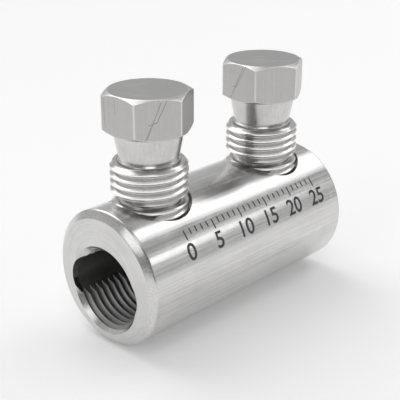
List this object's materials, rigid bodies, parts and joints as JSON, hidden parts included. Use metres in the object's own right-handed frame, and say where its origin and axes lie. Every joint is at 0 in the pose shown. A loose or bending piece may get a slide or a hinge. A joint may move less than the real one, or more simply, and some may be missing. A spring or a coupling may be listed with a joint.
{
  "type": "mechanical cable connector",
  "caption": "In-line shear-bolt connector: a round metal body with a tapped conductor bore at each end, each clamped by a hexagon-headed bolt that breaks off at a waist.",
  "frame": {"origin": "on the axis of the front conductor bore, where its wall starts at the foot of the countersink, 0.79 mm inside the front end face", "axes": "+X along the conductors, from the front end into the connector and on to the rear end; +Z from the bore axis up towards the bolt heads"},
  "size_m": [0.0377, 0.0178, 0.0315],
  "materials": {
    "plated_body": "tin plated, drawn bar with fine lengthwise lines",
    "plated_bolt": "tin plated, turned"
  },
  "bodies": {
    "connector": {"connector_body": "plated_body"},
    "front_bolt": {"shear_bolt_front": "plated_bolt"},
    "rear_bolt": {"shear_bolt_rear": "plated_bolt"}
  },
  "joints": [
    {"name": "front_bolt_travel", "type": "slide", "parent": "connector", "child": "front_bolt", "axis": [0, 0, 1], "range_m": [-0.0078, 0.0035]},
    {"name": "rear_bolt_travel", "type": "slide", "parent": "connector", "child": "rear_bolt", "axis": [0, 0, 1], "range_m": [-0.0078, 0.0035]}
  ]
}
